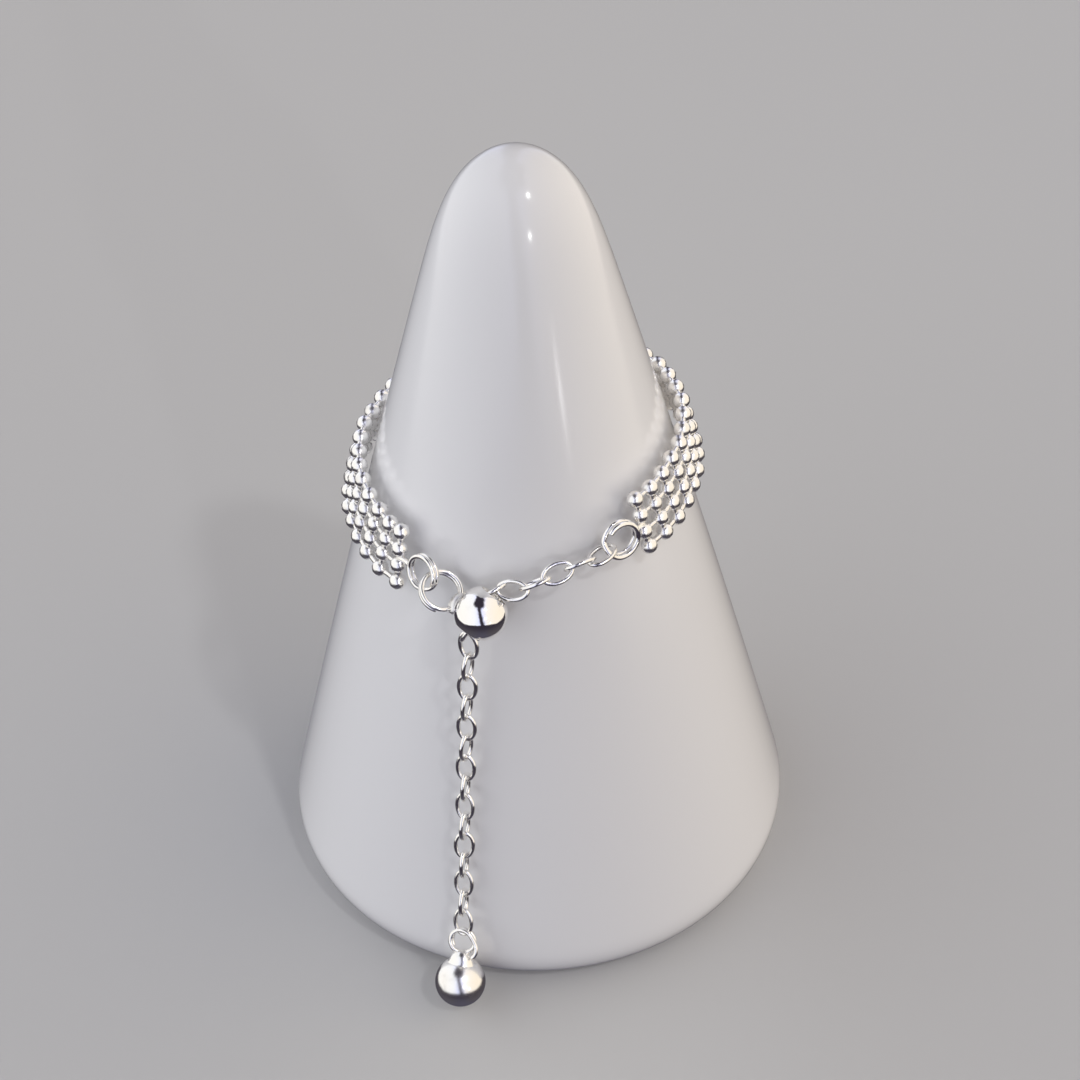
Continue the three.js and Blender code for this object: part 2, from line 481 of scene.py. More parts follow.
@dataclass(frozen=True)
class PolishedSilver(Finish):
    """Bright silver: a mirror with faint clouding, tumbling marks, and a slow unevenness in its shape."""

    name: str = "polished_silver"
    bright: Triple = (0.95, 0.935, 0.91)
    worn: Triple = (0.86, 0.84, 0.81)
    roughness: float = 0.06
    cloud_size: float = 0.9
    cloud_roughness: float = 0.05
    worn_band: Pair = (0.55, 0.8)
    mark_size: float = 0.09
    mark_depth: float = 0.0012
    dent_size: float = 0.8
    dent_depth: float = 0.012

    def dress(self, graph: Graph) -> None:
        """Clouding varies the colour and the roughness. Marks and dents tilt the normal.

        Args:
            graph: the material's nodes.
        """
        place = graph.object_place()
        cloud = graph.noise(place, self.cloud_size, detail=3.0)
        marks = graph.noise(place, self.mark_size, detail=2.0)
        dents = graph.noise(place, self.dent_size, detail=1.0)
        graph.surface({
            "Base Color": graph.mixed(cloud.smoothed(*self.worn_band), self.bright, self.worn),
            "Metallic": 1.0,
            "Roughness": self.roughness + cloud * self.cloud_roughness,
            "Normal": graph.bump(dents * self.dent_depth + marks * self.mark_depth),
        })


TUMBLED_SILVER = PolishedSilver(
    "tumbled_silver", roughness=0.13, cloud_roughness=0.1, dent_size=0.45, dent_depth=0.02
)
BEAD_SILVER = PolishedSilver(
    "bead_silver", roughness=0.2, cloud_roughness=0.12, dent_size=0.4, dent_depth=0.035
)
SOLDER_SILVER = PolishedSilver(
    "solder_silver", roughness=0.32, cloud_roughness=0.1, dent_size=0.4, dent_depth=0.03
)
SATIN_SILVER = PolishedSilver("satin_silver", roughness=0.19, cloud_roughness=0.08, mark_depth=0.002)


@dataclass(frozen=True)
class GlazedCeramic(Finish):
    """White porcelain under a clear glaze, with a slight ripple, faint clouds and a few small specks.

    Open fault: the imported model.glb brings a plain material of this name, and material() finds that one
    first. The cone wears it, and the nodes below aren't built until this finish has a name of its own.
    """

    name: str = "glazed_ceramic"
    body: Triple = (0.83, 0.83, 0.87)
    cloud: Triple = (0.80, 0.80, 0.84)
    cloud_size: float = 9.0
    cloud_band: Pair = (0.35, 0.75)
    speck: Triple = (0.20, 0.19, 0.19)
    speck_core: float = 0.35
    speck_places: tuple[Triple, ...] = (
        (-30.0, 21.6, 0.13), (-50.0, 24.6, 0.10), (38.0, 28.0, 0.12), (-62.0, 13.0, 0.10),
        (150.0, 18.0, 0.12), (205.0, 31.0, 0.10), (95.0, 9.0, 0.11),
    )
    roughness: float = 0.10
    cloud_roughness: float = 0.08
    glaze_roughness: float = 0.02
    ior: float = 1.5
    ripple_size: float = 6.0
    ripple_stretch: Triple = (1.0, 1.0, 0.45)
    ripple_depth: float = 0.05
    peel_size: float = 0.9
    peel_depth: float = 0.0012

    def dress(self, graph: Graph) -> None:
        """Clouds and specks vary the colour. The ripple and a fine orange peel tilt the normal.

        Args:
            graph: the material's nodes.
        """
        place = graph.object_place()
        clouds = graph.noise(place, self.cloud_size, detail=3.0)
        ripple = graph.noise(graph.stretched(place, self.ripple_stretch), self.ripple_size, detail=1.0)
        peel = graph.noise(place, self.peel_size, detail=1.0)
        colour = graph.mixed(clouds.smoothed(*self.cloud_band), self.body, self.cloud)
        graph.surface({
            "Base Color": graph.mixed(self.specks(graph, place), colour, self.speck),
            "Roughness": self.roughness + clouds * self.cloud_roughness,
            "IOR": self.ior,
            "Coat Weight": 1.0,
            "Coat Roughness": self.glaze_roughness,
            "Coat IOR": self.ior,
            "Normal": graph.bump(ripple * self.ripple_depth + peel * self.peel_depth),
        })

    def specks(self, graph: Graph, place: Socket) -> Signal:
        """The specks: a smooth fall of the distance from the middle of each, from its core to its edge.

        Args:
            graph: the material's nodes.
            place: where the surface point is.

        Returns:
            1 in each speck's core, and 0 outside them all.
        """
        total: Signal | float = 0.0
        for turn, height, size in self.speck_places:
            inputs = {0: place, 1: tuple(CONE.place(turn, height, 0.0) * MM)}
            away = graph.add("ShaderNodeVectorMath", {"operation": "DISTANCE"}, inputs).outputs["Value"]
            total = Signal(graph, away).smoothed(size * MM, self.speck_core * size * MM) + total
        return total


@dataclass(frozen=True)
class PalePaper(Finish):
    """The studio's floor: matt, pale and plain."""

    name: str = "pale_floor"
    tone: Triple = (0.56, 0.56, 0.565)
    mottle: Triple = (0.5768, 0.5768, 0.58195)
    mottle_size: float = 60.0
    roughness: float = 0.9

    def dress(self, graph: Graph) -> None:
        """A matt surface with a very faint mottle.

        Args:
            graph: the material's nodes.
        """
        mottle = graph.noise(graph.object_place(), self.mottle_size, detail=2.0)
        colour = graph.mixed(mottle, self.tone, self.mottle)
        graph.surface({"Base Color": colour, "Roughness": self.roughness})


class Slot(Enum):
    """The record's material slots."""

    SILVER = "silver"
    CERAMIC = "glazed_ceramic"


def make_object(name: str, data: MeshData, finish: Finish) -> bpy.types.Object:
    """Puts a mesh into Blender, in metres, smooth except across edges sharper than the crease angle.

    Args:
        name: the object's name.
        data: the mesh, in millimetres.
        finish: what it is made of.

    Returns:
        The object, at the origin.
    """
    mesh = bpy.data.meshes.new(name)
    corners = np.concatenate([data.quads.ravel(), data.triangles.ravel()]).astype(np.int32)
    totals = np.repeat([4, 3], [len(data.quads), len(data.triangles)])
    mesh.vertices.add(len(data.vertices))
    mesh.vertices.foreach_set("co", (data.vertices * MM).astype(np.float32).ravel())
    mesh.loops.add(len(corners))
    mesh.loops.foreach_set("vertex_index", corners)
    mesh.polygons.add(len(totals))
    mesh.polygons.foreach_set("loop_start", np.concatenate([[0], np.cumsum(totals)[:-1]]).astype(np.int32))
    mesh.update(calc_edges=True)
    mesh.validate()
    mesh.shade_smooth()
    mesh.set_sharp_from_angle(angle=math.radians(CREASE))
    mesh.materials.append(finish.material())
    thing = bpy.data.objects.new(name, mesh)
    bpy.context.scene.collection.objects.link(thing)
    return thing


def make_piece(name: str, data: MeshData, finish: Finish, node: str) -> None:
    """Makes a piece of the object, which rides on the body and stands for a CAD node.

    Args:
        name: the piece's name.
        data: its mesh, in millimetres.
        finish: what it is made of.
        node: the CAD node that it replaces.
    """
    piece = make_object(name, data, finish)
    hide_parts(node)
    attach(piece, BODY)
    log.info("%s: %d faces, %.2f mm3", name, len(data.quads) + len(data.triangles), data.volume())


# ---------------------------------------------------------------- the cone


@dataclass(frozen=True)
class ConeShape:
    """The ring cone's outline: a straight taper with a slight belly, a rounded tip and a tucked-in foot."""

    height: float = 49.0
    floor_radius: float = 16.1
    taper: float = 0.2625
    belly: float = 0.21
    tip_start: float = 35.0
    tip_power: float = 8.0
    foot_height: float = 2.73
    foot_tuck: float = 2.82

    def radius(self, height: Values) -> Array:
        """The outline.

        The radius is (floor radius - taper h + belly sin(180 h / H)) sqrt(1 - tip^8), where tip goes from 0
        where the rounding starts to 1 at the top, less foot tuck (1 - sqrt(1 - foot^2)), where foot goes
        from 1 at the floor to 0 at the foot's height.

        Args:
            height: above the base.

        Returns:
            The radius at each height.
        """
        height = np.asarray(height, float)
        side = self.floor_radius - self.taper * height + self.belly * np.sin(np.pi * height / self.height)
        tip = np.clip((height - self.tip_start) / (self.height - self.tip_start), 0, 1)
        foot = np.clip(1 - height / self.foot_height, 0, 1)
        return side * np.sqrt(1 - tip**self.tip_power) - self.foot_tuck * (1 - np.sqrt(1 - foot * foot))

    def normal(self, turn: Values, height: Values) -> Array:
        """The outward normal: (cos s sin t, -cos s cos t, sin s).

        Its slope s is the one whose tangent is how fast the radius shrinks with height.

        Args:
            turn: in degrees from the front.
            height: above the base.

        Returns:
            The normal at each place, (..., 3).
        """
        step = 0.01
        slope = np.arctan((self.radius(height - step) - self.radius(height + step)) / (2 * step))
        return level_direction(turn) * np.cos(slope)[..., None] + np.sin(slope)[..., None] * UP

    def place(self, turn: Values, height: Values, standoff: Values) -> Array:
        """A point off the surface: the surface point plus standoff times the normal.

        Args:
            turn: in degrees from the front.
            height: of the surface point, above the base.
            standoff: how far off the surface.

        Returns:
            The points, (..., 3).
        """
        given = (np.asarray(value, float) for value in (turn, height, standoff))
        turn, height, standoff = np.broadcast_arrays(*given)
        foot = level_direction(turn) * self.radius(height)[..., None] + height[..., None] * UP
        return foot + standoff[..., None] * self.normal(turn, height)


CONE = ConeShape()


@dataclass
class RingCone:
    """The glazed cone that the ring is worn on."""

    shape: ConeShape = CONE
    sides: int = 192
    foot_steps: int = 14
    side_steps: int = 60
    tip_steps: int = 44
    finish: Finish = GlazedCeramic()

    def mesh(self) -> MeshData:
        """The outline turned about the axis.

        Heights are spaced as 1 - cos in the foot, evenly up the side, and as sin in the tip, so that the
        rounded parts have rows at an even angle. A flat base closes the foot.

        Returns:
            The closed shell.
        """
        shape = self.shape
        foot = shape.foot_height * (1 - np.cos(np.linspace(0, np.pi / 2, self.foot_steps + 1)))
        side = np.linspace(shape.foot_height, shape.tip_start, self.side_steps + 1)[1:]
        rise = np.sin(np.linspace(0, np.pi / 2, self.tip_steps + 1)[1:])
        tip = shape.tip_start + (shape.height - shape.tip_start) * rise
        height = np.concatenate([[0.0], foot, side, tip])
        radius = np.concatenate([[0.0], shape.radius(height[1:-1]), [0.0]])
        return turned(radius, height, self.sides)

    def build(self) -> None:
        """Makes the cone."""
        make_piece("cone", self.mesh(), self.finish, "ring_cone")


# ---------------------------------------------------------------- the ring


@dataclass
class MeshBand:
    """The open band: strands of small beads, held along each strand by pins and across it by solder."""

    height: float = 28.9
    tilt: float = 1.02
    standoff: float = 0.92
    standoff_tilt: float = 0.18
    right_end_turn: float = 40.1
    left_end_turn: float = 314.8
    right_end_dip: float = 0.18
    left_end_dip: float = 0.75
    dip_spread: float = 20.0
    strands: int = 4
    columns: int = 37
    strand_spacing: float = 1.03
    bead_radius: float = 0.49
    bead_sides: int = 12
    bead_rows: int = 7
    pin_radius: float = 0.19
    solder_radius: float = 0.25
    pin_sides: int = 8
    waist: float = 0.15
    line_steps: int = 4000
    turn_step: float = 0.2
    looseness: float = 0.025
    seed: int = 7
    finish: Finish = BEAD_SILVER

    def middle(self, turn: Array) -> Array:
        """The band's middle line.

        Its height is height + tilt sin t, less a dip exp(-((t - end) / spread)^2) at each end, and its
        standoff is standoff + standoff tilt cos t.

        Args:
            turn: in degrees from the front.

        Returns:
            The line's points, (..., 3).
        """
        dips = ((self.right_end_turn, self.right_end_dip), (self.left_end_turn, self.left_end_dip))
        fall = sum(dip * np.exp(-(((turn - end) / self.dip_spread) ** 2)) for end, dip in dips)
        height = self.height + self.tilt * np.sin(np.radians(turn)) - fall
        return CONE.place(turn, height, self.standoff + self.standoff_tilt * np.cos(np.radians(turn)))

    def lattice(self) -> tuple[Array, Array]:
        """Where the beads are.

        The columns lie evenly along the middle line. A column runs along normal x ahead, and the strands lie
        evenly across it. Each bead is a little out of line.

        Returns:
            The beads' middles, (columns, strands, 3), and the columns' axes as rows across, out and ahead.
        """
        turn = np.linspace(self.right_end_turn, self.left_end_turn, self.line_steps + 1)
        walked = distance_along(self.middle(turn))
        turn = np.interp(np.linspace(0, walked[-1], self.columns), walked, turn)
        centre = self.middle(turn)
        ahead = unit(self.middle(turn + self.turn_step) - self.middle(turn - self.turn_step))
        across = unit(np.cross(CONE.normal(turn, centre[:, 2]), ahead))
        frames = np.stack([across, np.cross(ahead, across), ahead], axis=1)
        offset = (np.arange(self.strands) - (self.strands - 1) / 2) * self.strand_spacing
        beads = centre[:, None] + offset[:, None] * across[:, None]
        shake = np.random.default_rng(self.seed).normal(0.0, self.looseness, beads.shape)
        return beads + np.clip(shake, -2 * self.looseness, 2 * self.looseness), frames

    def links(self, start: Array, end: Array, near: Array, radius: float) -> MeshData:
        """Short round links between beads, a little waisted: r = R (1 - waist sin p) along each.

        Args:
            start: where each starts, (..., 3).
            end: where each ends, (..., 3).
            near: a direction across each, (..., 3).
            radius: the links' radius at their ends.

        Returns:
            One mesh that holds all of the links.
        """
        start, end, near = (v.reshape(-1, 3) for v in (start, end, near))
        along = np.linspace(0, 1, 4)
        r = np.concatenate([[0.0], radius * (1 - self.waist * np.sin(np.pi * along)), [0.0]])
        h = np.concatenate([[0.0], along, [1.0]])
        frames = axes(end - start, near)
        frames[:, 2] *= np.linalg.norm(end - start, axis=1, keepdims=True)
        return turned(r, h, self.pin_sides).placed(start, frames)

    def build(self) -> None:
        """Makes the beads, and the pins and solder between them."""
        beads, frames = self.lattice()
        each = np.repeat(frames, self.strands, axis=0)
        balls = ball(self.bead_radius, self.bead_sides, self.bead_rows).placed(beads.reshape(-1, 3), each)
        make_piece("mesh_beads", balls, self.finish, "mesh_band")
        outward = each[:, 1].reshape(beads.shape)
        pins = self.links(beads[:-1], beads[1:], outward[:-1], self.pin_radius)
        solder = self.links(beads[:, :-1], beads[:, 1:], outward[:, :-1], self.solder_radius)
        make_piece("mesh_pins", joined(pins, solder), self.finish, "mesh_band")

    def notch(self, column: int) -> Array:
        """The place between the two middle strands.

        Args:
            column: the column's number, 0 at the right end and -1 at the left end.

        Returns:
            The place.
        """
        beads, _ = self.lattice()
        middle = self.strands // 2
        return (beads[column, middle - 1] + beads[column, middle]) / 2


@dataclass(frozen=True)
class WoundRing:
    """A ring of round wire, wound nearly twice round, with its two turns side by side."""

    radius: float
    wire_radius: float
    pitch: float
    face_turn: float
    face_lift: float
    start: float
    way: int = 1
    turns: float = 1.75
    crossing: Pair = (275.0, 335.0)
    flare: float = 0.0
    flare_reach: float = 85.0
    steps: int = 150
    sides: int = 14

    def frame(self) -> Array:
        """The ring's own axes.

        Returns:
            The axes as rows: level to the right, upward, and the way that its face looks.
        """
        lift = math.radians(self.face_lift)
        face = level_direction(self.face_turn) * math.cos(lift) + UP * math.sin(lift)
        right = level_direction(self.face_turn + 90.0)
        return np.stack([right, np.cross(face, right), face])

    def mesh(self, centre: Array) -> MeshData:
        """The wire: x = R cos a, y = R sin a, where a starts at the first cut end.

        The first turn is at z = pitch / 2 and the second at -pitch / 2. Between the two angles of the
        crossing, counted along the wire in degrees, z goes from one to the other by a smooth step. Over the
        flare's reach R is larger by a flare, which falls by a smooth step, so the end springs outwards.

        Args:
            centre: the ring's middle.

        Returns:
            The wire.
        """
        wound = np.linspace(0.0, 360.0 * self.turns, self.steps)
        angle = np.radians(self.start + self.way * wound)
        z = self.pitch * (0.5 - smooth_between(*self.crossing, wound))
        radius = self.radius + self.flare * (1 - smooth_between(0.0, self.flare_reach, wound))
        shape = wire(round_points(radius, angle, z), UP, self.wire_radius, self.sides, closed=False)
        return shape.placed(centre, self.frame())

    def nearest(self, centre: Array, place: Array) -> Array:
        """The point of the ring's circle that is nearest a place.

        Args:
            centre: the ring's middle.
            place: the place.

        Returns:
            The point: the middle plus R times the way to the place, less its part along the face's way.
        """
        face = self.frame()[2]
        towards = place - centre
        return centre + unit(towards - face * (towards @ face)) * self.radius


@dataclass
class JumpRing:
    """A wound ring that stands on edge at an end of the band, and the bar of solder that ties it there."""

    name: str
    node: str
    turn: float
    height: float
    standoff: float
    ring: WoundRing
    tie_radius: float = 0.17
    tie_flare: float = 0.45
    tie_overlap: float = 0.2
    tie_steps: int = 16
    tie_sides: int = 16
    finish: Finish = PolishedSilver()

    def centre(self) -> Array:
        """The ring's middle."""
        return CONE.place(self.turn, self.height, self.standoff)

    def tie(self, anchor: Array) -> MeshData:
        """A short bar of solder from the band's end to the nearest point of the ring's wire.

        It is waisted: r = R (1 + flare s^2) sqrt(1 - s^6), where s goes from -1 to 1 along it.

        Args:
            anchor: where the tie is held in the band.

        Returns:
            The bar.
        """
        hold = self.ring.nearest(self.centre(), anchor)
        along = np.linspace(-1, 1, self.tie_steps + 1)
        length = (float(np.linalg.norm(hold - anchor)) + self.tie_overlap) / 2
        radius = self.tie_radius * (1 + self.tie_flare * along**2) * np.sqrt(1 - along**6)
        frames = axes(hold - anchor, self.ring.frame()[2])
        return turned(radius, length * along, self.tie_sides).placed((anchor + hold) / 2, frames)

    def build(self, anchor: Array) -> None:
        """Makes the ring and its tie.

        Args:
            anchor: where the tie is held in the band.
        """
        data = joined(self.ring.mesh(self.centre()), self.tie(anchor))
        make_piece(self.name, data, self.finish, self.node)


@dataclass
class SliderBead:
    """The bead that the chain slides through, with the ring soldered to its side."""

    turn: float = -14.5
    height: float = 26.14
    standoff: float = 1.8
    radius: float = 1.5
    bore_radius: float = 0.79
    lip_radius: float = 0.06
    ring_turn: float = -27.27
    ring_height: float = 26.83
    ring_standoff: float = 1.55
    ring: WoundRing = WoundRing(
        radius=1.115, wire_radius=0.135, pitch=-0.28, face_turn=35.3, face_lift=58.0, start=225.0, way=-1
    )
    bore: Triple = (0.6245, 0.4484, 0.6395)
    solder_size: Triple = (0.46, 0.42, 0.74)
    outside_steps: int = 60
    lip_steps: int = 6
    bore_steps: int = 8
    sides: int = 72
    solder_sides: int = 32
    solder_rows: int = 20
    finish: Finish = PolishedSilver()
    solder_finish: Finish = SOLDER_SILVER

    def centre(self) -> Array:
        """The bead's middle."""
        return CONE.place(self.turn, self.height, self.standoff)

    def bead(self) -> MeshData:
        """The bead about its bore, along Z.

        The outside is a circle of the bead's radius from lip to lip, each lip is a small quarter round, and
        the bore is straight.

        Returns:
            The closed shell.
        """
        rim = math.asin((self.bore_radius + self.lip_radius) / self.radius)
        polar = np.linspace(rim, np.pi - rim, self.outside_steps + 1)
        lip = np.linspace(0, np.pi / 2, self.lip_steps + 1)[1:]
        low_r = self.bore_radius + self.lip_radius * (1 - np.sin(lip))
        low_h = self.lip_radius * (1 - np.cos(lip)) - self.radius * math.cos(rim)
        bore_h = np.linspace(low_h[-1], -low_h[-1], self.bore_steps + 1)[1:-1]
        bore_r = np.full(len(bore_h), self.bore_radius)
        radius = np.concatenate([self.radius * np.sin(polar), low_r, bore_r, low_r[::-1]])
        height = np.concatenate([self.radius * np.cos(polar), low_h, bore_h, -low_h[::-1]])
        return turned(radius, height, self.sides, closed=True)

    def solder(self, ring_centre: Array) -> MeshData:
        """A smooth egg of solder on the bead, over the nearest part of the ring's wire.

        Its half sizes are the solder size: away from the bead, across the wire and along the wire.

        Args:
            ring_centre: the ring's middle.

        Returns:
            The egg.
        """
        centre = self.centre()
        outward = unit(self.ring.nearest(ring_centre, centre) - centre)
        along = np.cross(outward, self.ring.frame()[2])
        frames = axes(along, outward) * np.array(self.solder_size)[:, None]
        return ball(1.0, self.solder_sides, self.solder_rows).placed(centre + outward * self.radius, frames)

    def build(self) -> None:
        """Makes the bead with its ring, and the solder that joins them."""
        centre = self.centre()
        ring_centre = CONE.place(self.ring_turn, self.ring_height, self.ring_standoff)
        bead = self.bead().placed(centre, axes(np.array(self.bore), ring_centre - centre))
        data = joined(bead, self.ring.mesh(ring_centre))
        make_piece("slider", data, self.finish, "slider_bead")
        make_piece("slider_solder", self.solder(ring_centre), self.solder_finish, "slider_bead")


@dataclass
class Chain:
    """The cable chain from the right ring to the end ball: oval links, each a quarter turn from the last."""

    route: tuple[Triple, ...] = (
        (24.5, 28.72, 1.12), (21.3, 28.6, 1.15), (18.0, 28.57, 1.17), (14.6, 28.5, 1.2),
        (8.0, 28.29, 1.33), (1.7, 27.9, 1.38), (-5.7, 27.41, 1.3), (-11.2, 27.28, 1.21),
        (-13.7, 26.86, 1.46), (-14.5, 26.14, 1.8), (-17.75, 25.13, 2.11), (-17.45, 24.25, 2.02),
        (-17.65, 22.87, 1.85), (-17.9, 21.48, 1.65), (-18.15, 20.0, 1.43), (-18.3, 18.44, 1.22),
        (-18.45, 17.05, 1.05), (-18.5, 15.68, 0.93), (-18.5, 13.6, 0.86), (-18.3, 10.5, 0.85),
        (-18.1, 7.5, 0.85), (-17.8, 4.95, 1.0),
    )
    link_length: float = 1.96
    link_width: float = 1.29
    wire_radius: float = 0.13
    loop_links: int = 5
    bore_links: int = 3
    hanging_links: int = 6
    resting_links: int = 9
    loop_start: float = 0.24
    loop_pitch: float = 1.33
    hanging_pitch: float = 1.46
    resting_pitch: float = 1.354
    tail_end: float = 0.39
    hanging_face: Triple = (0.0, -0.745, 0.667)
    tail_twist: float = 7.0
    first_twist: float = 30.0
    looseness: float = 5.0
    lean: float = 0.6
    seed: int = 3
    curve_steps: int = 40
    link_steps: int = 40
    wire_sides: int = 10
    finish: Finish = TUMBLED_SILVER

    def curve(self) -> tuple[Array, Array]:
        """The route as a smooth curve.

        It is a Catmull-Rom spline through the places: on each stretch, half of 2b + (c - a) t
        + (2a - 5b + 4c - d) t^2 + (3b - a - 3c + d) t^3.

        Returns:
            The curve's points, (n, 3), and how far along it each one is.
        """
        turn, height, standoff = np.array(self.route).T
        p = CONE.place(turn, height, standoff)
        p = np.concatenate([[2 * p[0] - p[1]], p, [2 * p[-1] - p[-2]]])
        t = np.linspace(0, 1, self.curve_steps, endpoint=False)[:, None]
        a, b, c, d = (p[i:len(p) - 3 + i, None] for i in range(4))
        cubic = 2 * b + (c - a) * t + (2 * a - 5 * b + 4 * c - d) * t**2 + (3 * b - a - 3 * c + d) * t**3
        points = np.concatenate([(cubic / 2).reshape(-1, 3), p[-2:-1]])
        return points, distance_along(points)

    def stations(self, length: float) -> Array:
        """How far along the route each link's middle is.

        The loop's links are a loop pitch apart. In the tail, the links that hang are a hanging pitch apart
        and the links that rest on the cone a resting pitch, up to the tail's end. The links in the bore
        share out what is left.

        Args:
            length: the route's length.

        Returns:
            One distance for each link.
        """
        loop_last = self.loop_start + self.loop_pitch * (self.loop_links - 1)
        tail_last = length - self.tail_end
        rest = tail_last - self.resting_pitch * (self.resting_links - 1)
        hang = rest - self.hanging_pitch * self.hanging_links
        counts = [0, self.loop_links - 1, self.bore_links + 1, self.hanging_links, self.resting_links - 1]
        steps = np.cumsum(counts)
        places = [self.loop_start, loop_last, hang, rest, tail_last]
        return np.interp(np.arange(steps[-1] + 1), steps, places)

    def frames(self, centre: Array, ahead: Array) -> Array:
        """The links' axes, with each link's face along Y and its length along Z.

        The tail's links face away from the cone, turned by the tail twist. The loop's hang free, and face
        forward and up. Every second link is a quarter turn from the one before, and each is a little out of
        line. The first is turned by the first twist, where it hangs in the right ring.

        Args:
            centre: the links' middles.
            ahead: the way of the route at each.

        Returns:
            The axes as rows, (links, 3, 3).
        """
        count = len(centre)
        turn = np.degrees(np.arctan2(centre[:, 0], -centre[:, 1]))
        resting = turned_about(CONE.normal(turn, centre[:, 2]), ahead, self.tail_twist)
        hanging = np.array(self.hanging_face)
        share = smooth_between(self.loop_links - 0.5, self.loop_links + self.bore_links, np.arange(count))
        face = unit(resting * share[:, None] + hanging * (1 - share[:, None]))
        flat, edge = axes(ahead, np.cross(ahead, face)), axes(ahead, face)
        frames = np.where((np.arange(count) % 2 == 0)[:, None, None], flat, edge)
        frames[0] = turned_about(frames[0], frames[0, 2], self.first_twist)
        shake = np.radians(np.random.default_rng(self.seed).normal(0.0, self.looseness, (count, 2, 1)))
        first = unit(frames[:, 0] + shake[:, 0] * frames[:, 1])
        third = frames[:, 2] + self.lean * shake[:, 1] * frames[:, 0]
        return axes(third, first)

    def build(self) -> None:
        """Makes the links."""
        points, walked = self.curve()
        station = self.stations(walked[-1])
        reach = self.link_length / 4
        aft, centre, fore = (
            np.stack([np.interp(station + step, walked, points[:, i]) for i in range(3)], axis=-1)
            for step in (-reach, 0.0, reach)
        )
        length, width = (size - 2 * self.wire_radius for size in (self.link_length, self.link_width))
        path = ellipse_path(length, width, self.link_steps)
        link = wire(path, np.array([0.0, 1.0, 0.0]), self.wire_radius, self.wire_sides)
        data = link.placed(centre, self.frames(centre, unit(fore - aft)))
        make_piece("chain_links", data, self.finish, "chain")


@dataclass
class EndBall:
    """The ball that ends the tail, with the ring in its top that the last link hangs in."""

    turn: float = -17.4
    height: float = 2.03
    standoff: float = 1.82
    radius: float = 1.5
    lift: float = 2.64
    ring: WoundRing = WoundRing(
        radius=0.72, wire_radius=0.13, pitch=0.28, face_turn=-25.0, face_lift=28.0, start=-46.0, flare=0.42
    )
    solder_length: float = 1.0
    solder_width: float = 0.8
    solder_rise: float = 0.58
    solder_sink: float = 0.02
    solder_root: float = 0.6
    solder_sides: int = 40
    solder_rows: int = 11
    sides: int = 72
    rows: int = 48
    finish: Finish = SATIN_SILVER

    def solder(self) -> MeshData:
        """The oval mound of solder on top of the ball, about the ball's middle.

        At a share f of the way to its rim, the surface is R + rise (1 - f^2)^2 - sink f from the middle, at
        an angle f w l / sqrt((w cos p)^2 + (l sin p)^2) / R from the top, where l and w are its half length
        along X and half width along Y. A root inside the ball, at a share of R, closes it.

        Returns:
            The mound.
        """
        way = round_angles(self.solder_sides)
        share = np.linspace(0, 1, self.solder_rows + 1)[1:, None]
        oval = np.hypot(self.solder_width * np.cos(way), self.solder_length * np.sin(way))
        lean = share * (self.solder_length * self.solder_width / oval / self.radius)
        reach = self.radius + self.solder_rise * (1 - share**2) ** 2 - self.solder_sink * share
        points = round_points(reach * np.sin(lean), way, reach * np.cos(lean))
        top = (self.radius + self.solder_rise) * UP
        return grid_shell(points, top, self.solder_root * self.radius * UP)

    def build(self, last_link: Array) -> None:
        """Makes the ball, its ring and its solder.

        Args:
            last_link: where the tail ends.
        """
        centre = CONE.place(self.turn, self.height, self.standoff)
        upward = unit(last_link - centre)
        upright = axes(upward, np.cross(self.ring.frame()[2], upward))
        body = ball(self.radius, self.sides, self.rows).placed(centre, upright)
        solder = self.solder().placed(centre, upright)
        data = joined(body, self.ring.mesh(centre + upward * self.lift), solder)
        make_piece("tail_ball", data, self.finish, "end_ball")


# ---------------------------------------------------------------- the studio


@dataclass(frozen=True)
class Lamp:
    """A small soft lamp, which makes a narrow highlight.

    Its turn from the front and its rise above the horizon are in degrees, about the aim, a place on the
    cone's axis. Its distance and its width and height are in metres, and its power in watts.
    """

    name: str
    turn: float
    rise: float
    away: float
    size: Pair
    power: float
    aim: float = 0.035

    def build(self) -> None:
        """Puts the lamp in its place, looking at the aim."""
        data = bpy.data.lights.new(self.name, "AREA")
        data.shape, data.energy = "RECTANGLE", self.power
        data.size, data.size_y = self.size
        rise = math.radians(self.rise)
        way = Vector(level_direction(self.turn) * math.cos(rise) + UP * math.sin(rise))
        lamp = bpy.data.objects.new(self.name, data)
        lamp.location = way * self.away + Vector((0, 0, self.aim))
        lamp.rotation_euler = (-way).to_track_quat("-Z", "Y").to_euler()
        lamp.visible_camera = False
        bpy.context.scene.collection.objects.link(lamp)


